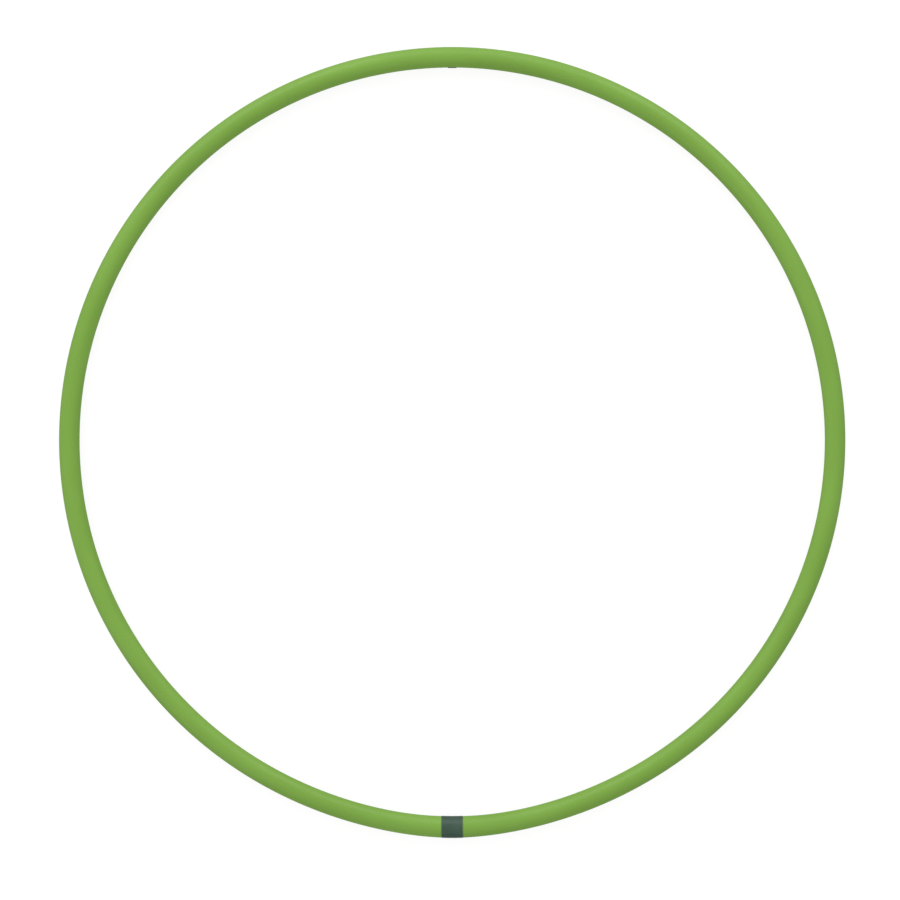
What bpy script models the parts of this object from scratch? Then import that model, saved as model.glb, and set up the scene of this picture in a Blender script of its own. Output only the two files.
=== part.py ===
"""Rhythmic gymnastics hoop: one length of round plastic tube, bent into a ring and closed on a dowel.

The ring lies flat. +Z is its axis, the joint is at -Y, and z = 0 is the lowest point. Metres throughout.
"""

from math import cos, cosh, pi, radians, sin, tanh

import bmesh
import bpy
from mathutils import Matrix, Vector

# Driving dimensions
HOOP_DIAMETER = 0.750       # over the outside of the tube
TUBE_DIAMETER = 0.0195
TUBE_WALL = 0.002
PEAK_HEIGHT = 0.0038        # the ring stands out by this much at its joint
PEAK_SPREAD = radians(11)   # and comes back to the true circle over a few times this angle
SWELL_HEIGHT = 0.0005       # the dowel in the joint stretches the tube's radius by this much
SWELL_SPREAD = radians(4)   # and the swelling dies away over a few times this angle
SEAM_WIDTH = 0.0006         # between the two cut ends of the tube
TAPE_WIDTH = 0.0206
TAPE_THICKNESS = 0.0002
DOWEL_LENGTH = 0.080
DOWEL_CHAMFER = 0.0015
STAPLE_WIDTH = 0.0087       # over both legs, along the tube
STAPLE_DEPTH = 0.008        # from the crown to the leg tips
STAPLE_POINT = 0.001        # height of each leg's chisel point
WIRE_THICKNESS = 0.0006
WIRE_WIDTH = 0.0012
STAPLE_PROUD = 0.00045      # how far the crown opposite the joint stands off the tube
STAPLE_OFFSET = 0.00555     # from the seam to the middle of a joint staple
CLEARANCE = 0.0003          # between neighbouring pieces

# How finely the round shapes are cut
SECTION_SIDES = 16
SEGMENT_ANGLE = radians(3)

TUBE_RADIUS = TUBE_DIAMETER / 2
BORE_RADIUS = TUBE_RADIUS - TUBE_WALL
TAPE_BORE_RADIUS = TUBE_RADIUS + SWELL_HEIGHT + CLEARANCE
TAPE_RADIUS = TAPE_BORE_RADIUS + TAPE_THICKNESS
RING_RADIUS = (HOOP_DIAMETER - TUBE_DIAMETER) / 2
OPPOSITE = pi               # the angle of the point across from the joint

# The tape is the lowest and the outermost thing, so it sets the ring's height and its shift along Y.
RING_CENTRE = Vector((0, (PEAK_HEIGHT + TAPE_RADIUS - TUBE_RADIUS) / 2, TAPE_RADIUS))


def from_joint(angle):
    """The same angle, measured the short way round from the joint: between -pi and pi."""
    return (angle + pi) % (2 * pi) - pi


def swell(angle):
    """How much the tube's outer and bore radius have grown at an angle from the joint."""
    return SWELL_HEIGHT / cosh(from_joint(angle) / SWELL_SPREAD)


def ring_frame(angle):
    """Axes at a point of the tube's centreline, angle from the joint: X along the tube, Y outward."""
    distance = from_joint(angle) / PEAK_SPREAD
    bump = PEAK_HEIGHT / cosh(distance)
    radius = RING_RADIUS + bump
    slope = -bump * tanh(distance) / PEAK_SPREAD
    outward = Vector((sin(angle), -cos(angle), 0))
    onward = Vector((cos(angle), sin(angle), 0))
    along = (radius * onward + slope * outward).normalized()
    away = Vector((along.y, -along.x, 0))
    frame = Matrix((along, away, Vector((0, 0, 1)))).transposed().to_4x4()
    frame.translation = RING_CENTRE + radius * outward
    return frame


def angle_of(distance):
    """The angle that a distance along the centreline takes up."""
    return distance / RING_RADIUS


def stations(start, end):
    """Angles from start to end, with every whole segment between them."""
    first = int(start / SEGMENT_ANGLE) - 1
    last = int(end / SEGMENT_ANGLE) + 1
    clear = 0.1 * SEGMENT_ANGLE
    whole = [step * SEGMENT_ANGLE for step in range(first, last + 1)]
    return [start] + [a for a in whole if start + clear < a < end - clear] + [end]


def section(mesh, frame, radius):
    """One ring of points around the centreline, with flats below, above, inside and outside."""
    corner = radius / cos(pi / SECTION_SIDES)
    turns = [2 * pi * (side + 0.5) / SECTION_SIDES for side in range(SECTION_SIDES)]
    return [mesh.verts.new(frame @ Vector((0, corner * cos(t), corner * sin(t)))) for t in turns]


def join_sections(mesh, one, two):
    for side in range(SECTION_SIDES):
        after = (side + 1) % SECTION_SIDES
        mesh.faces.new((one[side], one[after], two[after], two[side]))


def finish(mesh, name, material, sharp_angle=radians(35)):
    """Turns the bmesh into a named object with its normals out and its round sides smooth."""
    bmesh.ops.recalc_face_normals(mesh, faces=mesh.faces)
    data = bpy.data.meshes.new(name)
    mesh.to_mesh(data)
    mesh.free()
    data.materials.append(material)
    data.shade_smooth()
    data.set_sharp_from_angle(angle=sharp_angle)
    piece = bpy.data.objects.new(name, data)
    bpy.context.collection.objects.link(piece)
    return piece


def sleeve(mesh, outside, inside):
    """Closes a pipe, open at both ends, from its outer sections and its inner ones."""
    rings = outside + inside[::-1]
    for one, two in zip(rings, rings[1:] + rings[:1]):
        join_sections(mesh, one, two)


def tube(material):
    """All round the ring, from one cut end to the other."""
    mesh = bmesh.new()
    half_seam = angle_of(SEAM_WIDTH / 2)
    angles = stations(half_seam, 2 * pi - half_seam)
    outside = [section(mesh, ring_frame(a), TUBE_RADIUS + swell(a)) for a in angles]
    inside = [section(mesh, ring_frame(a), BORE_RADIUS + swell(a)) for a in angles]
    sleeve(mesh, outside, inside)
    return finish(mesh, "hoop_tube", material)


def tape_frames():
    """Across the seam, with the tape's two edges parallel, because tape doesn't fan out with the ring."""
    frames = []
    for offset in (-TAPE_WIDTH / 2, 0.0, TAPE_WIDTH / 2):
        frame = ring_frame(0.0)
        frame.translation = ring_frame(angle_of(offset)).translation
        frame.translation.x = offset
        frames.append(frame)
    return frames


def tape(material):
    """A band round the joint, wide enough for the swollen tube."""
    mesh = bmesh.new()
    frames = tape_frames()
    outside = [section(mesh, frame, TAPE_RADIUS) for frame in frames]
    inside = [section(mesh, frame, TAPE_BORE_RADIUS) for frame in frames]
    sleeve(mesh, outside, inside)
    return finish(mesh, "joint_tape", material)


def dowel_section(mesh, angle, inset):
    return section(mesh, ring_frame(angle), BORE_RADIUS + swell(angle) - CLEARANCE - inset)


def dowel(name, middle, material):
    """A plug that fills the bore and follows the ring, with a chamfer at each end."""
    mesh = bmesh.new()
    half = angle_of(DOWEL_LENGTH / 2)
    shoulder = half - angle_of(DOWEL_CHAMFER)
    rings = [dowel_section(mesh, middle - half, DOWEL_CHAMFER)]
    for angle in stations(middle - shoulder, middle + shoulder):
        rings.append(dowel_section(mesh, angle, 0.0))
    rings.append(dowel_section(mesh, middle + half, DOWEL_CHAMFER))
    for one, two in zip(rings, rings[1:]):
        join_sections(mesh, one, two)
    mesh.faces.new(rings[0])
    mesh.faces.new(rings[-1])
    return finish(mesh, name, material)


def staple_outline(margin):
    """The staple seen from the side, (along the tube, up from the crown's back), grown by margin."""
    out = STAPLE_WIDTH / 2 + margin
    into = STAPLE_WIDTH / 2 - WIRE_THICKNESS - margin
    back = -margin
    under = WIRE_THICKNESS + margin
    shoulder = STAPLE_DEPTH - STAPLE_POINT
    tip = STAPLE_DEPTH + margin
    corner = 0.5 * WIRE_THICKNESS
    half = [(out - corner, back), (out, back + corner), (out, shoulder), (into, tip), (into, under)]
    return half + [(-along, up) for along, up in reversed(half)]


def staple(name, angle, proud, material, margin=0.0):
    """A wire staple driven outward from the inside of the ring, its crown along the tube."""
    mesh = bmesh.new()
    frame = ring_frame(angle)
    back = -(TUBE_RADIUS + swell(angle) + proud)
    across = WIRE_WIDTH / 2 + margin
    outline = staple_outline(margin)
    sides = []
    for height in (-across, across):
        sides.append([mesh.verts.new(frame @ Vector((x, back + y, height))) for x, y in outline])
    low, high = sides
    mesh.faces.new(low)
    mesh.faces.new(high)
    for here in range(len(outline)):
        after = (here + 1) % len(outline)
        mesh.faces.new((low[here], low[after], high[after], high[here]))
    return finish(mesh, name, material)


def cut_for_staple(name, angle, proud, material, pieces):
    """Cuts the staple's own slot, a clearance wider all round, out of the pieces that it holds."""
    slot = staple(name, angle, proud, material, CLEARANCE)
    slot.hide_render = True
    slot.display_type = "WIRE"
    for piece in pieces:
        cut = piece.modifiers.new(name, "BOOLEAN")
        cut.operation = "DIFFERENCE"
        cut.solver = "EXACT"
        cut.object = slot


def plastic(name, colour, roughness):
    return surface(name, colour, roughness, 0.0)


def steel():
    return surface("staple_steel", (0.38, 0.38, 0.37), 0.35, 1.0)


def surface(name, colour, roughness, metallic):
    material = bpy.data.materials.new(name)
    material.use_nodes = True
    shader = material.node_tree.nodes["Principled BSDF"]
    shader.inputs["Base Color"].default_value = (*colour, 1.0)
    shader.inputs["Roughness"].default_value = roughness
    shader.inputs["Metallic"].default_value = metallic
    material.diffuse_color = (*colour, 1.0)
    return material


def clear_scene():
    for leftover in list(bpy.data.objects):
        bpy.data.objects.remove(leftover, do_unlink=True)


def build():
    clear_scene()
    green = plastic("tube_green", (0.26, 0.47, 0.08), 0.42)
    white = plastic("dowel_plastic", (0.70, 0.69, 0.64), 0.5)
    dark = plastic("tape_dark", (0.055, 0.075, 0.065), 0.5)
    wire = steel()

    hoop_tube = tube(green)
    tape(dark)
    joint_dowel = dowel("joint_dowel", 0.0, white)
    balance_dowel = dowel("balance_dowel", OPPOSITE, white)

    side_step = angle_of(STAPLE_OFFSET)
    staples = (
        ("joint_staple_left", -side_step, 0.0, joint_dowel),
        ("joint_staple_right", side_step, 0.0, joint_dowel),
        ("balance_staple", OPPOSITE, STAPLE_PROUD, balance_dowel),
    )
    for name, angle, proud, held in staples:
        staple(name, angle, proud, wire)
        cut_for_staple(name + "_slot", angle, proud, wire, (hoop_tube, held))


build()
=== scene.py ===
"""The look of a rhythmic gymnastics hoop: a bent plastic tube, closed on a dowel under a band of tape.

The hoop lies flat on the floor. Its joint is at -Y and +Z is its axis. Everything is in metres.
"""

from math import atan2, cos, cosh, hypot, pi, radians, sin, tanh

import bmesh
import bpy
from mathutils import Matrix, Vector


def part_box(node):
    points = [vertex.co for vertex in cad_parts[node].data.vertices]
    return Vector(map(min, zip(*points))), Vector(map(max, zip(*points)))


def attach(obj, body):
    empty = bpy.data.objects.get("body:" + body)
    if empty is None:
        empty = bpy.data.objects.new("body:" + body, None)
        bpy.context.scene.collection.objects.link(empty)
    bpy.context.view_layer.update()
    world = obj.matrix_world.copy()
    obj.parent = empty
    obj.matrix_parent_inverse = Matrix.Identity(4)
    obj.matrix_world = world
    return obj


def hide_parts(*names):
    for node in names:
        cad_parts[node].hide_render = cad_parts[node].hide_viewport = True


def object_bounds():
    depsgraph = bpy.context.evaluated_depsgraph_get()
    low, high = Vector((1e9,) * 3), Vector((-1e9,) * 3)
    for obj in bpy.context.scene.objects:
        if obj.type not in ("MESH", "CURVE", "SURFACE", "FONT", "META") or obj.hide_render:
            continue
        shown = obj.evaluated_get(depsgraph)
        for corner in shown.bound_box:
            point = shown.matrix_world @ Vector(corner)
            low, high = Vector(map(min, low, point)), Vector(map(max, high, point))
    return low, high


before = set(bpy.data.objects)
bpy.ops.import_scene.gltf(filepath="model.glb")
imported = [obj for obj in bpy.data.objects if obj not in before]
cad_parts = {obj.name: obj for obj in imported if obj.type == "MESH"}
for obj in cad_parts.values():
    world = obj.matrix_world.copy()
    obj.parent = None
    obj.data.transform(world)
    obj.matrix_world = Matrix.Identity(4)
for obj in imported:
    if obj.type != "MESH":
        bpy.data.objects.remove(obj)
cad_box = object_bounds()

# ---------------------------------------------------------------- sizes read from the frame


def corners(name):
    """The lowest and the highest corner of a CAD node's box."""
    return [Vector(corner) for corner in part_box(name)]


def size_of(name):
    low, high = corners(name)
    return high - low


TUBE_LOW, TUBE_HIGH = corners("hoop_tube")
TUBE_SIZE = size_of("hoop_tube")
TAPE_WIDTH = size_of("joint_tape").x
STAPLE_SIZE = size_of("balance_staple")
STAPLE_LOW = corners("balance_staple")[0]

DOWEL_RADIUS = size_of("balance_dowel").z / 2
SWELL_HEIGHT = size_of("joint_dowel").z / 2 - DOWEL_RADIUS  # what the plug adds to the tube's radius
TUBE_RADIUS = TUBE_SIZE.z / 2 - SWELL_HEIGHT
OUTER_RADIUS = TUBE_SIZE.x / 2
RING_RADIUS = OUTER_RADIUS - TUBE_RADIUS
RING_CENTRE = Vector((0, TUBE_HIGH.y - OUTER_RADIUS, (TUBE_LOW.z + TUBE_HIGH.z) / 2))
PEAK_HEIGHT = RING_CENTRE.y - TUBE_LOW.y - OUTER_RADIUS - SWELL_HEIGHT
RING_LENGTH = 2 * pi * RING_RADIUS
OPPOSITE = pi               # the angle of the point across from the joint

# ---------------------------------------------------------------- sizes that no box gives

PEAK_SPREAD = radians(11)   # the peak at the joint dies away over a few times this angle
SWELL_SPREAD = radians(4)   # and the swelling over a few times this one
CLEARANCE = 0.0003          # between a dowel and the bore
BORE_RADIUS = DOWEL_RADIUS + CLEARANCE
SEAM_WIDTH = 0.0006         # between the two cut ends of the tube
DOWEL_LENGTH = 0.080
DOWEL_CHAMFER = 0.0015
WIRE_THICKNESS = 0.0006
STAPLE_OFFSET = 0.00555     # from the seam to the middle of a joint staple
STAPLE_PROUD = RING_CENTRE.y + RING_RADIUS - TUBE_RADIUS - STAPLE_LOW.y
SLOT_MARGIN = 0.00002       # between a staple and the plastic that it's driven through

TAPE_THICKNESS = 0.00009
TAPE_TURNS = 2.12
TAPE_END = radians(250)     # where the free end lies round the tube: below, towards the ring's middle


# ---------------------------------------------------------------- the ring's curve


def from_joint(angle):
    """The same angle, measured the short way round from the joint: between -pi and pi."""
    return (angle + pi) % (2 * pi) - pi


def swell(angle):
    """How much the tube's outer and bore radius have grown, where it is stretched over the plug."""
    return SWELL_HEIGHT / cosh(from_joint(angle) / SWELL_SPREAD)


def ring_frame(angle):
    """Axes at a point of the tube's centreline, angle from the joint: X along the tube, Y outward."""
    distance = from_joint(angle) / PEAK_SPREAD
    bump = PEAK_HEIGHT / cosh(distance)
    radius = RING_RADIUS + bump
    slope = -bump * tanh(distance) / PEAK_SPREAD
    outward = Vector((sin(angle), -cos(angle), 0))
    onward = Vector((cos(angle), sin(angle), 0))
    along = (radius * onward + slope * outward).normalized()
    away = Vector((along.y, -along.x, 0))
    axes = Matrix((along, away, Vector((0, 0, 1)))).transposed().to_4x4()
    axes.translation = RING_CENTRE + radius * outward
    return axes


def angle_of(distance):
    """The angle that a distance along the centreline takes up."""
    return distance / RING_RADIUS


def straightened(point, middle):
    """Where a point lay on the straight tube: outward and up from its axis, and how far along it.

    The angle doesn't jump within half a turn of the middle one.
    """
    offset = point - RING_CENTRE
    angle = middle + from_joint(atan2(offset.x, -offset.y) - middle)
    radius = RING_RADIUS + PEAK_HEIGHT / cosh(from_joint(angle) / PEAK_SPREAD)
    return hypot(offset.x, offset.y) - radius, offset.z, angle * RING_RADIUS


# ---------------------------------------------------------------- mesh tools


SHARP_ANGLE = radians(35)


def finish(mesh, name, sharp_angle=SHARP_ANGLE):
    """Turns the bmesh into a piece with its normals out and its round sides smooth."""
    bmesh.ops.recalc_face_normals(mesh, faces=mesh.faces)
    data = bpy.data.meshes.new(name)
    mesh.to_mesh(data)
    mesh.free()
    piece = bpy.data.objects.new(name, data)
    bpy.context.collection.objects.link(piece)
    data.shade_smooth()
    data.set_sharp_from_angle(angle=sharp_angle)
    return piece


def mark_straightened(piece, middle):
    """Gives the piece its straightened coordinates as an attribute, which every finish starts from."""
    data = piece.data
    straight = data.attributes.new("straight", "FLOAT_VECTOR", "POINT")
    values = [part for vertex in data.vertices for part in straightened(vertex.co, middle)]
    straight.data.foreach_set("vector", values)


def loft(mesh, sections):
    """Quads between each section's points and the next one's."""
    for one, two in zip(sections, sections[1:]):
        for here in range(len(one)):
            after = (here + 1) % len(one)
            mesh.faces.new((one[here], one[after], two[after], two[here]))


def circle(mesh, axes, radius, sides):
    """A ring of points across the tube, around the origin of the axes."""
    turns = [2 * pi * side / sides for side in range(sides)]
    return [mesh.verts.new(axes @ Vector((0, radius * cos(t), radius * sin(t)))) for t in turns]


def cut(piece, cutters):
    """Applies an exact Boolean difference for each cutter."""
    for cutter in cutters:
        step = piece.modifiers.new(cutter.name, "BOOLEAN")
        step.operation = "DIFFERENCE"
        step.solver = "EXACT"
        step.object = cutter
    graph = bpy.context.evaluated_depsgraph_get()
    made = bpy.data.meshes.new_from_object(piece.evaluated_get(graph), depsgraph=graph)
    piece.modifiers.clear()
    piece.data = made
    made.set_sharp_from_angle(angle=SHARP_ANGLE)


def place(piece, node, material):
    """Stands the piece in for its CAD node, in the one body, with its finish."""
    piece.data.materials.clear()
    piece.data.materials.append(material)
    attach(piece, "root")
    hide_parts(node)


# ---------------------------------------------------------------- the tube

BORE_SIDES = 28
TUBE_SIDES = 2 * BORE_SIDES
COARSE_STEP = radians(0.8)
FINE_STEP = radians(0.12)
FINE_REACH = radians(2.2)   # on each side of the staple, whose dimple needs a fine mesh
DIMPLE_DEPTH = 0.00006
DIMPLE_LENGTH = 0.0052      # the dimple dies away over a few times these
DIMPLE_WIDTH = 0.0019


def tube_angles():
    """Angles of the tube's sections, close together near the staple opposite the joint."""
    half_seam = angle_of(SEAM_WIDTH / 2)
    angles = [half_seam]
    while angles[-1] < 2 * pi - half_seam:
        fine = abs(angles[-1] - OPPOSITE) < FINE_REACH
        angles.append(angles[-1] + (FINE_STEP if fine else COARSE_STEP))
    spare = angles[-1] - (2 * pi - half_seam)
    if spare > COARSE_STEP / 2:
        angles.pop()
    angles[-1] = 2 * pi - half_seam
    return angles


def draw_in_dimple(mesh):
    """The staple's crown pulls the wall in a little around itself."""
    for vertex in mesh.verts:
        out, up, distance = straightened(vertex.co, OPPOSITE)
        if out > 0 or hypot(out, up) < (TUBE_RADIUS + BORE_RADIUS) / 2:
            continue
        along = (distance - OPPOSITE * RING_RADIUS) / DIMPLE_LENGTH
        depth = DIMPLE_DEPTH / cosh(along) ** 2 / cosh(up / DIMPLE_WIDTH) ** 2
        outward = Vector((vertex.co.x - RING_CENTRE.x, vertex.co.y - RING_CENTRE.y, 0)).normalized()
        vertex.co += outward * depth


def make_tube():
    mesh = bmesh.new()
    angles = tube_angles()
    outside = [circle(mesh, ring_frame(a), TUBE_RADIUS + swell(a), TUBE_SIDES) for a in angles]
    loft(mesh, outside)
    inside = [circle(mesh, ring_frame(a), BORE_RADIUS + swell(a), BORE_SIDES) for a in angles]
    loft(mesh, inside)
    for end in (0, -1):
        close_end(mesh, outside[end], inside[end])
    draw_in_dimple(mesh)
    return finish(mesh, "tube")


def close_end(mesh, outer, inner):
    """The sawn end: each face takes two of the outer sides and one of the bore's."""
    for here in range(BORE_SIDES):
        after = (here + 1) % BORE_SIDES
        rim = [outer[(2 * here + step) % TUBE_SIDES] for step in range(3)]
        mesh.faces.new(rim + [inner[after], inner[here]])


# ---------------------------------------------------------------- the dowels

DOWEL_SIDES = 48
DOWEL_STEPS = 24


def dowel_ring(mesh, angle, inset):
    return circle(mesh, ring_frame(angle), DOWEL_RADIUS + swell(angle) - inset, DOWEL_SIDES)


def make_dowel(name, middle):
    """A length of rod that fills the bore and follows the ring, with its ends broken."""
    mesh = bmesh.new()
    half = angle_of(DOWEL_LENGTH / 2)
    shoulder = half - angle_of(DOWEL_CHAMFER)
    angles = [middle + shoulder * (2 * step / DOWEL_STEPS - 1) for step in range(DOWEL_STEPS + 1)]
    rings = [dowel_ring(mesh, middle - half, DOWEL_CHAMFER)]
    rings += [dowel_ring(mesh, angle, 0.0) for angle in angles]
    rings.append(dowel_ring(mesh, middle + half, DOWEL_CHAMFER))
    loft(mesh, rings)
    mesh.faces.new(rings[0])
    mesh.faces.new(rings[-1])
    return finish(mesh, name)


# ---------------------------------------------------------------- the staples

BEND_STEPS = 6
BEND_RADIUS = 0.0005        # to the middle of the wire
WIRE_CORNER = 0.00014       # the radius of the flattened wire's corners
CORNER_SHARE = 0.45         # of the thickness, the most that a corner's radius may be
CORNER_STEPS = 3
POINT_LENGTH = 0.0012
POINT_THICKNESS = 0.00012
STAPLE_SHARP = radians(50)


def wire_section(thickness, width):
    """A flattened wire's section with rounded corners: (out from the bend, across the tube)."""
    radius = min(WIRE_CORNER, thickness * CORNER_SHARE)
    points = []
    for quarter in range(4):
        turn = quarter * pi / 2
        side_out = 1 if quarter in (0, 3) else -1
        side_up = 1 if quarter in (0, 1) else -1
        for step in range(CORNER_STEPS + 1):
            t = turn + step * pi / (2 * CORNER_STEPS)
            points.append((
                side_out * (thickness / 2 - radius) + radius * cos(t),
                side_up * (width / 2 - radius) + radius * sin(t),
            ))
    return points


def staple_path():
    """Half of the wire's middle line, from the crown's middle to a tip: (along, deep, heading)."""
    reach = STAPLE_SIZE.x / 2 - WIRE_THICKNESS / 2
    depth = STAPLE_SIZE.y
    middle = WIRE_THICKNESS / 2
    path = [(0.0, middle, 0.0)]
    for step in range(BEND_STEPS + 1):
        turn = pi / 2 * step / BEND_STEPS
        along = reach - BEND_RADIUS + BEND_RADIUS * sin(turn)
        path.append((along, middle + BEND_RADIUS * (1 - cos(turn)), turn))
    path.append((reach, depth - POINT_LENGTH, pi / 2))
    path.append((reach, depth, pi / 2))
    return path


def crown_back(angle, proud):
    """Where the back of a staple's crown lies, outward from the tube's centreline."""
    return -TUBE_RADIUS - swell(angle) - proud


def make_staple(name, angle, proud):
    """Flattened wire bent square, with chisel-cut tips, driven outward from the inside of the ring."""
    mesh = bmesh.new()
    axes = ring_frame(angle)
    back_at = crown_back(angle, proud)
    half = staple_path()
    back = [(-along, deep, -heading) for along, deep, heading in reversed(half[1:])]
    sections = []
    stations = back + half
    for index, (along, deep, heading) in enumerate(stations):
        tip = index in (0, len(stations) - 1)
        thickness = POINT_THICKNESS if tip else WIRE_THICKNESS
        ring = []
        for out, up in wire_section(thickness, STAPLE_SIZE.z):
            if tip:     # the wire is cut on the slant, so its edge lies on the outer side
                out += (WIRE_THICKNESS - POINT_THICKNESS) / 2
            x = along + out * sin(heading)
            y = deep - out * cos(heading)
            ring.append(mesh.verts.new(axes @ Vector((x, back_at + y, up))))
        sections.append(ring)
    loft(mesh, sections)
    mesh.faces.new(sections[0])
    mesh.faces.new(sections[-1])
    return finish(mesh, name, STAPLE_SHARP)


def make_slot(angle, proud):
    """What a staple cuts out of the tube and the dowel: its own shape, a little wider."""
    mesh = bmesh.new()
    axes = ring_frame(angle)
    back_at = crown_back(angle, proud)
    out = STAPLE_SIZE.x / 2 + SLOT_MARGIN
    into = STAPLE_SIZE.x / 2 - WIRE_THICKNESS - SLOT_MARGIN
    bend = BEND_RADIUS + WIRE_THICKNESS / 2
    half = []
    for step in range(BEND_STEPS + 1):
        turn = pi / 2 * step / BEND_STEPS
        half.append((out - bend * (1 - sin(turn)), bend * (1 - cos(turn)) - SLOT_MARGIN))
    half += [(out, STAPLE_SIZE.y + SLOT_MARGIN), (into, STAPLE_SIZE.y + SLOT_MARGIN)]
    half.append((into, WIRE_THICKNESS + SLOT_MARGIN))
    outline = half + [(-along, deep) for along, deep in reversed(half)]
    across = STAPLE_SIZE.z / 2 + SLOT_MARGIN
    sides = []
    for height in (-across, across):
        points = [Vector((x, back_at + y, height)) for x, y in outline]
        sides.append([mesh.verts.new(axes @ point) for point in points])
    loft(mesh, sides)
    mesh.faces.new(sides[0])
    mesh.faces.new(sides[1])
    return finish(mesh, "slot")


# ---------------------------------------------------------------- the tape

TAPE_SIDES = 180            # steps in each turn
HALF_ROWS = (0.03, 0.06, 0.3, 0.6, 0.9, 0.985, 1.0)     # across the tape, as a share of its half width
TAPE_ROWS = tuple(-row for row in reversed(HALF_ROWS)) + (0.0,) + HALF_ROWS
EDGE_THINNING = 0.35        # of the thickness, at the slit edges
LAYER_GAP = 0.00001         # so that the turns don't touch
STEP_UP = radians(7)        # how far round the tube a turn takes to climb onto the strip's own start
TAPE_DRIFT = 0.00025        # how far the turns wander sideways
DRIFT_WAVES = ((0.6, 0.9, 0.4), (0.4, 2.3, 0.0))        # each wave's share, its pace and its start
DRIFT_SKEW = 0.15           # by how much one edge wanders less than the middle, and the other more
SEAM_DIP = 0.00005          # where the tape bridges the gap between the tube's ends
TAPE_SHARP = radians(40)


def layers_below(turn):
    """How many layers lie below the strip, with a short ramp before each one that it climbs."""
    below = 0.0
    for climb in range(1, int(TAPE_TURNS) + 1):
        share = min(max((turn - 2 * pi * climb) / STEP_UP + 1, 0.0), 1.0)
        below += share * share * (3 - 2 * share)
    return below


def tape_point(turn, row, lift):
    """A point of the wound tape: turn round the tube, row across it, lift from its sticky face."""
    wander = TAPE_DRIFT * sum(share * sin(pace * turn + start) for share, pace, start in DRIFT_WAVES)
    half = TAPE_WIDTH / 2 - TAPE_DRIFT
    x = row * half + wander * (1 - DRIFT_SKEW * row)
    dip = SEAM_DIP / cosh(x / SEAM_WIDTH) ** 2
    thin = EDGE_THINNING * TAPE_THICKNESS if abs(row) == 1.0 else 0.0
    radius = TUBE_RADIUS + swell(angle_of(x)) + LAYER_GAP - dip
    radius += layers_below(turn) * (TAPE_THICKNESS + LAYER_GAP)
    radius += thin / 2 if lift == 0 else TAPE_THICKNESS - thin / 2
    around = TAPE_END - 2 * pi * TAPE_TURNS + turn
    centre = ring_frame(angle_of(x)).translation
    return Vector((x, centre.y - radius * cos(around), centre.z + radius * sin(around)))


def make_tape():
    """One strip wound twice and a little more round the joint, as a closed ribbon."""
    mesh = bmesh.new()
    steps = round(TAPE_SIDES * TAPE_TURNS)
    sections = []
    for step in range(steps + 1):
        turn = 2 * pi * TAPE_TURNS * step / steps
        under = [mesh.verts.new(tape_point(turn, row, 0)) for row in TAPE_ROWS]
        over = [mesh.verts.new(tape_point(turn, row, 1)) for row in reversed(TAPE_ROWS)]
        sections.append(under + over)
    loft(mesh, sections)
    mesh.faces.new(sections[0])
    mesh.faces.new(sections[-1])
    return finish(mesh, "tape", TAPE_SHARP)


# ---------------------------------------------------------------- node tools


MM = 1000                   # millimetres in a metre, for finishes that are laid out in millimetres


def new_material(name):
    """A new material's node tree, its shader and the material itself."""
    material = bpy.data.materials.new(name)
    material.use_nodes = True
    return material.node_tree, material.node_tree.nodes["Principled BSDF"], material


def put(tree, kind, inputs, **settings):
    """Adds a node. An input's value is a number or colour to set, or another node's output to link."""
    node = tree.nodes.new(kind)
    for name, value in settings.items():
        setattr(node, name, value)
    for name, value in inputs.items():
        if isinstance(value, bpy.types.NodeSocket):
            tree.links.new(value, node.inputs[name])
        else:
            node.inputs[name].default_value = value
    return node


def straight_vector(tree, scale):
    """The straightened coordinates times scale: outward, up, along."""
    straight = put(tree, "ShaderNodeAttribute", {}, attribute_name="straight")
    scaled = put(tree, "ShaderNodeMapping", {"Vector": straight.outputs["Vector"], "Scale": scale})
    return scaled.outputs["Vector"]


def straight_axes(tree):
    """The straightened coordinates in millimetres, as three outputs: outward, up, along."""
    return put(tree, "ShaderNodeSeparateXYZ", {0: straight_vector(tree, (MM, MM, MM))}).outputs


def per_mm(across, along):
    """A noise scale with features of these sizes, in millimetres, across and along the tube."""
    return (MM / across, MM / across, MM / along)


def noise(tree, scale, detail=3.0, roughness=0.55):
    """Soft noise between 0 and 1, with features of the scale's size."""
    vector = straight_vector(tree, scale)
    inputs = {"Vector": vector, "Scale": 1.0, "Detail": detail, "Roughness": roughness}
    return put(tree, "ShaderNodeTexNoise", inputs).outputs["Fac"]


def spread(tree, value, low, high, to_low, to_high):
    """Maps low..high to to_low..to_high, smoothly and without running past them."""
    inputs = {0: value, 1: low, 2: high, 3: to_low, 4: to_high}
    node = put(tree, "ShaderNodeMapRange", inputs, interpolation_type="SMOOTHSTEP")
    return node.outputs[0]


def combine(tree, operation, one, two=0.0):
    return put(tree, "ShaderNodeMath", {0: one, 1: two}, operation=operation).outputs[0]


def blend(tree, share, one, two):
    """From colour one to colour two."""
    node = put(tree, "ShaderNodeMix", {0: share, 6: one, 7: two}, data_type="RGBA")
    return node.outputs[2]


def bump(tree, height, depth, under=None):
    """Relief of this depth in metres, laid over the relief under it."""
    inputs = {"Height": height, "Distance": depth}
    if under is not None:
        inputs["Normal"] = under
    return put(tree, "ShaderNodeBump", inputs).outputs["Normal"]


# ---------------------------------------------------------------- the finishes

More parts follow.
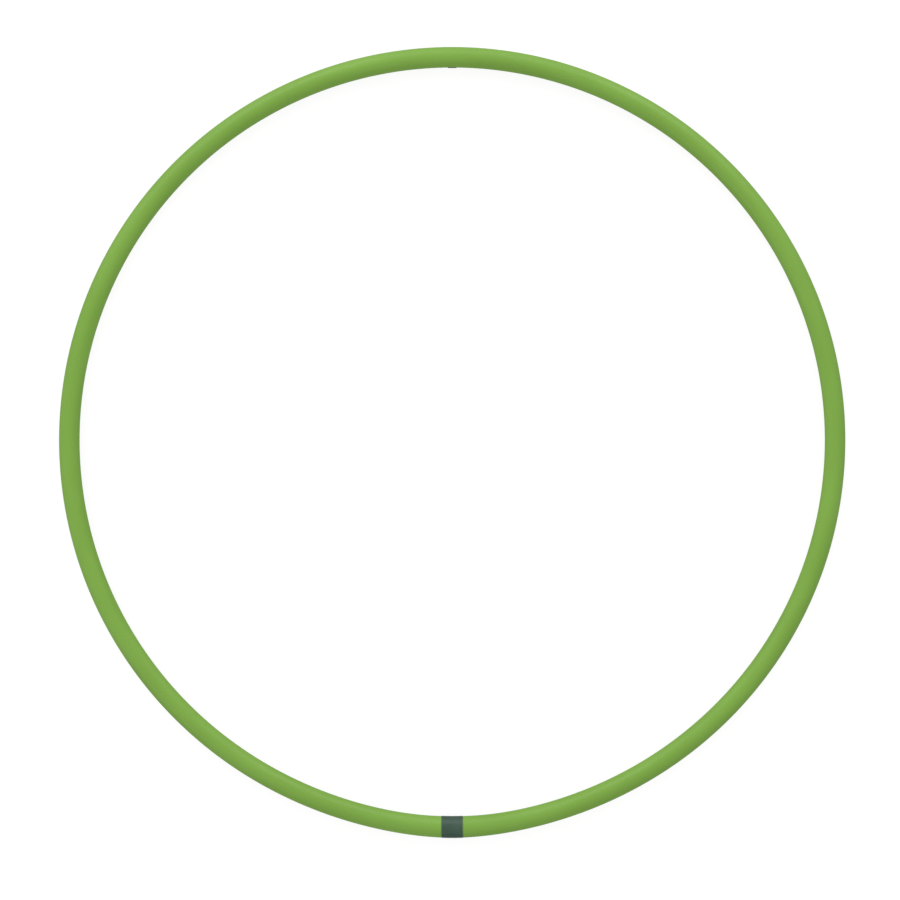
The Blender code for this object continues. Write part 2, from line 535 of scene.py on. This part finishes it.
TUBE_GREEN = (0.1435, 0.293, 0.0305, 1)
TUBE_GREEN_PALE = (0.1515, 0.307, 0.0345, 1)
TUBE_GREEN_DEEP = (0.1355, 0.278, 0.0265, 1)
SCUFF_GREEN = (0.30, 0.46, 0.17, 1)
SCUFF_STRENGTH = 0.5
SCUFF_DULLING = 0.18        # what a scuff adds to the roughness
SCUFF_FROM = 0.60           # how far out the scuffs begin and are thickest, in tube radii
SCUFF_FULL = 0.95
RESIDUE = (0.07, 0.13, 0.03, 1)
RESIDUE_STRENGTH = 0.35
RESIDUE_REACH = 0.9         # millimetres of adhesive beside the tape
WAVE_DEPTH = 0.00012        # depths of the tube's relief
LINE_DEPTH = 0.000026
GRAIN_DEPTH = 0.000008
SCUFF_DEPTH = 0.000014


def tube_finish():
    """Extruded satin plastic: lines along the tube, a fine grain, faint scuffs on the rolling side."""
    tree, shader, material = new_material("tube_plastic")
    cloud = noise(tree, per_mm(22, 90), 2.0)
    streak = noise(tree, per_mm(0.9, 260), 3.0)
    lines = noise(tree, per_mm(0.32, 240), 3.0)
    grain = noise(tree, per_mm(0.12, 0.25), 3.0)
    waves = noise(tree, per_mm(14, 11), 1.0)
    colour = blend(tree, spread(tree, cloud, 0.3, 0.7, 0, 1), TUBE_GREEN_DEEP, TUBE_GREEN_PALE)
    colour = blend(tree, spread(tree, streak, 0.35, 0.7, 0, 0.45), colour, TUBE_GREEN)
    colour = blend(tree, spread(tree, lines, 0.56, 0.72, 0, 0.35), colour, TUBE_GREEN_DEEP)

    outward, _, along = straight_axes(tree)
    rim = spread(tree, outward, MM * SCUFF_FROM * TUBE_RADIUS, MM * SCUFF_FULL * TUBE_RADIUS, 0, 1)
    scratch = spread(tree, noise(tree, per_mm(0.25, 4), 4.0, 0.7), 0.56, 0.68, 0, 1)
    patch = spread(tree, noise(tree, per_mm(7, 24), 2.0), 0.44, 0.60, 0, 1)
    scuff = combine(tree, "MULTIPLY", combine(tree, "MULTIPLY", scratch, patch), rim)
    colour = blend(tree, combine(tree, "MULTIPLY", scuff, SCUFF_STRENGTH), colour, SCUFF_GREEN)

    edge = MM * TAPE_WIDTH / 2
    far_edge = MM * RING_LENGTH - edge
    after_tape = spread(tree, along, edge, edge + RESIDUE_REACH, 1, 0)
    before_tape = spread(tree, along, far_edge - RESIDUE_REACH, far_edge, 0, 1)
    beside = combine(tree, "MAXIMUM", after_tape, before_tape)
    residue = combine(tree, "MULTIPLY", beside, RESIDUE_STRENGTH)
    colour = blend(tree, residue, colour, RESIDUE)
    tree.links.new(colour, shader.inputs["Base Color"])

    dull = spread(tree, noise(tree, per_mm(4, 120), 3.0), 0.3, 0.7, 0.44, 0.53)
    dull = combine(tree, "ADD", dull, combine(tree, "MULTIPLY", scuff, SCUFF_DULLING))
    tree.links.new(dull, shader.inputs["Roughness"])
    normal = bump(tree, waves, WAVE_DEPTH)
    normal = bump(tree, lines, LINE_DEPTH, normal)
    normal = bump(tree, grain, GRAIN_DEPTH, normal)
    normal = bump(tree, scuff, -SCUFF_DEPTH, normal)
    tree.links.new(normal, shader.inputs["Normal"])
    shader.inputs["Specular IOR Level"].default_value = 0.4
    shader.inputs["IOR"].default_value = 1.49
    return material


TAPE_DARK = (0.021, 0.052, 0.033, 1)
TAPE_PALE = (0.026, 0.062, 0.041, 1)
TAPE_WORN = (0.065, 0.095, 0.075, 1)
WORN_FROM = 0.7             # millimetres in from the tape's edge, where the rubbing begins and is full
WORN_FULL = 0.3
STRETCH_DEPTH = 0.00002     # depths of the tape's relief
EMBOSS_DEPTH = 0.000016


def tape_finish():
    """Vinyl tape: a fine embossed grain, stretch marks along its length and paler, rubbed edges."""
    tree, shader, material = new_material("joint_tape_vinyl")
    cloud = noise(tree, per_mm(7, 7), 2.0)
    stretch = noise(tree, per_mm(7, 0.28), 3.0)
    grain = put(tree, "ShaderNodeTexVoronoi", {
        "Vector": straight_vector(tree, per_mm(0.30, 0.30)), "Scale": 1.0,
    }).outputs["Distance"]
    colour = blend(tree, spread(tree, cloud, 0.3, 0.7, 0, 1), TAPE_DARK, TAPE_PALE)
    colour = blend(tree, spread(tree, stretch, 0.5, 0.75, 0, 0.3), colour, TAPE_PALE)

    from_seam = combine(tree, "ABSOLUTE", straight_axes(tree)[2])
    edge = MM * TAPE_WIDTH / 2
    near_edge = spread(tree, from_seam, edge - WORN_FROM, edge - WORN_FULL, 0, 1)
    spots = spread(tree, noise(tree, per_mm(0.8, 0.8)), 0.4, 0.7, 0, 0.6)
    rubbed = combine(tree, "MULTIPLY", near_edge, spots)
    colour = blend(tree, rubbed, colour, TAPE_WORN)
    tree.links.new(colour, shader.inputs["Base Color"])
    tree.links.new(spread(tree, cloud, 0.3, 0.7, 0.37, 0.46), shader.inputs["Roughness"])
    normal = bump(tree, stretch, STRETCH_DEPTH)
    normal = bump(tree, spread(tree, grain, 0.1, 0.7, 1, 0), EMBOSS_DEPTH, normal)
    tree.links.new(normal, shader.inputs["Normal"])
    shader.inputs["Specular IOR Level"].default_value = 0.4
    shader.inputs["IOR"].default_value = 1.5
    return material


WIRE_BRIGHT = (0.15, 0.145, 0.14, 1)
WIRE_DULL = (0.022, 0.021, 0.020, 1)
DRAWN_DEPTH = 0.000006


def wire_finish():
    """Drawn, galvanised wire: lines along the wire, with dull patches in the zinc."""
    tree, shader, material = new_material("staple_steel")
    patch = noise(tree, per_mm(0.7, 0.7), 4.0)
    drawn = noise(tree, per_mm(0.06, 3), 2.0)
    dull = spread(tree, patch, 0.28, 0.48, 0, 1)
    tree.links.new(blend(tree, dull, WIRE_BRIGHT, WIRE_DULL), shader.inputs["Base Color"])
    tree.links.new(spread(tree, patch, 0.4, 0.65, 0.28, 0.5), shader.inputs["Roughness"])
    tree.links.new(bump(tree, drawn, DRAWN_DEPTH), shader.inputs["Normal"])
    shader.inputs["Metallic"].default_value = 1.0
    return material


DOWEL_NATURAL = (0.68, 0.67, 0.61, 1)
DOWEL_SHADED = (0.58, 0.57, 0.51, 1)
ROD_LINE_DEPTH = 0.00003


def dowel_finish():
    """Natural, unpigmented plastic rod with extrusion lines and a waxy sheen."""
    tree, shader, material = new_material("dowel_plastic")
    cloud = noise(tree, per_mm(6, 20), 3.0)
    lines = noise(tree, per_mm(0.5, 160), 2.0)
    tree.links.new(blend(tree, cloud, DOWEL_SHADED, DOWEL_NATURAL), shader.inputs["Base Color"])
    tree.links.new(spread(tree, lines, 0.3, 0.7, 0.42, 0.58), shader.inputs["Roughness"])
    tree.links.new(bump(tree, lines, ROD_LINE_DEPTH), shader.inputs["Normal"])
    return material


# ---------------------------------------------------------------- the object


def make_hoop():
    tube = make_tube()
    tape = make_tape()
    joint_dowel = make_dowel("dowel_in_joint", 0.0)
    balance_dowel = make_dowel("dowel_opposite", OPPOSITE)
    side = angle_of(STAPLE_OFFSET)
    fastenings = (
        ("staple_left", "joint_staple_left", -side, 0.0, joint_dowel),
        ("staple_right", "joint_staple_right", side, 0.0, joint_dowel),
        ("staple_opposite", "balance_staple", OPPOSITE, STAPLE_PROUD, balance_dowel),
    )
    slots = {joint_dowel: [], balance_dowel: []}
    staples = []
    for name, node, angle, proud, held in fastenings:
        staples.append((make_staple(name, angle, proud), node, angle))
        slots[held].append(make_slot(angle, proud))
    cut(tube, [slot for group in slots.values() for slot in group])
    for dowel, group in slots.items():
        cut(dowel, group)
        for slot in group:
            bpy.data.objects.remove(slot, do_unlink=True)

    wire = wire_finish()
    plastic = dowel_finish()
    placed = [
        (tube, "hoop_tube", OPPOSITE, "tube_plastic", tube_finish()),
        (tape, "joint_tape", 0.0, "tape", tape_finish()),
        (joint_dowel, "joint_dowel", 0.0, "dowel_plastic", plastic),
        (balance_dowel, "balance_dowel", OPPOSITE, "dowel_plastic", plastic),
    ]
    placed += [(staple, node, angle, "staple_wire", wire) for staple, node, angle in staples]
    for piece, node, middle, slot, material in placed:
        mark_straightened(piece, middle)
        place(piece, node, material)


# ---------------------------------------------------------------- the studio

FLOOR_SIZE = 24.0
FLOOR_WHITE = (0.17, 0.17, 0.17, 1)
FLOOR_GLOW = 0.85           # keeps the floor white where the hoop shades it
SKY_ABOVE = (1.0, 1.0, 1.0, 1)
SKY_BELOW = (0.36, 0.36, 0.36, 1)   # the limbs mirror this instead of the floor, so they stay dark
SKY_UP = (-0.12, 0.40, 1.0)         # the sky brightens this way: up, and away from the joint
SKY_DARK = -0.45            # how far along SKY_UP the sky is at its darkest and at its brightest
SKY_BRIGHT = 0.3
SOFTBOXES = (               # name, place, size and power
    ("key_softbox", (-2.1, 3.4, 2.2), 2.6, 64),
    ("second_softbox", (1.6, 3.7, 2.2), 2.6, 56),
    ("fill_softbox", (-2.8, -2.4, 2.2), 2.6, 14),
)
CAMERA_HEIGHT = 3.0
VIEW_WIDTH = 0.8586         # of what the picture spans at the height of the tube's middle
VIEW_SHIFT = (-0.0021, -0.0070)     # of the camera, from straight above the hoop's middle
SENSOR_WIDTH = 36.0


def make_floor():
    """A plain pale sheet at the height that the hoop stands on."""
    mesh = bmesh.new()
    bmesh.ops.create_grid(mesh, x_segments=8, y_segments=8, size=FLOOR_SIZE / 2)
    data = bpy.data.meshes.new("studio_floor")
    mesh.to_mesh(data)
    mesh.free()
    floor = bpy.data.objects.new("studio_floor", data)
    bpy.context.collection.objects.link(floor)
    floor.location.z = cad_box[0][2]
    _, shader, material = new_material("floor_white")
    shader.inputs["Base Color"].default_value = FLOOR_WHITE
    shader.inputs["Emission Color"].default_value = (1, 1, 1, 1)
    shader.inputs["Emission Strength"].default_value = FLOOR_GLOW
    shader.inputs["Roughness"].default_value = 0.9
    shader.inputs["Specular IOR Level"].default_value = 0.1
    data.materials.append(material)
    floor.visible_glossy = False


def make_light(name, spot, aim, size, power):
    """A square softbox at a spot, turned to face its aim."""
    light = bpy.data.lights.new(name, "AREA")
    light.shape = "SQUARE"
    light.size = size
    light.energy = power
    lamp = bpy.data.objects.new(name, light)
    bpy.context.collection.objects.link(lamp)
    lamp.location = spot
    lamp.rotation_euler = (aim - Vector(spot)).to_track_quat("-Z", "Y").to_euler()


def make_sky():
    """A plain sky that is bright above and darker below."""
    sky = bpy.data.worlds.new("studio_sky")
    bpy.context.scene.world = sky
    sky.use_nodes = True
    tree = sky.node_tree
    look = put(tree, "ShaderNodeTexCoord", {}).outputs["Generated"]
    upward = put(tree, "ShaderNodeVectorMath", {0: look, 1: SKY_UP}, operation="DOT_PRODUCT")
    share = spread(tree, upward.outputs["Value"], SKY_DARK, SKY_BRIGHT, 0, 1)
    tree.links.new(blend(tree, share, SKY_BELOW, SKY_ABOVE), tree.nodes["Background"].inputs["Color"])


def make_studio():
    make_floor()
    middle = Vector((0, RING_CENTRE.y, 0))
    for name, spot, size, power in SOFTBOXES:
        make_light(name, spot, middle, size, power)
    make_sky()


def make_camera():
    """Straight above the hoop, with the joint at the bottom of the picture."""
    camera = bpy.data.cameras.new("camera")
    camera.sensor_width = SENSOR_WIDTH
    camera.lens = SENSOR_WIDTH * (CAMERA_HEIGHT - RING_CENTRE.z) / VIEW_WIDTH
    holder = bpy.data.objects.new("camera", camera)
    bpy.context.collection.objects.link(holder)
    middle = [(low + high) / 2 for low, high in zip(cad_box[0], cad_box[1])]
    holder.location = (middle[0] + VIEW_SHIFT[0], middle[1] + VIEW_SHIFT[1], CAMERA_HEIGHT)
    bpy.context.scene.camera = holder
    bpy.context.scene.view_settings.view_transform = "Standard"


make_camera()
make_studio()
make_hoop()
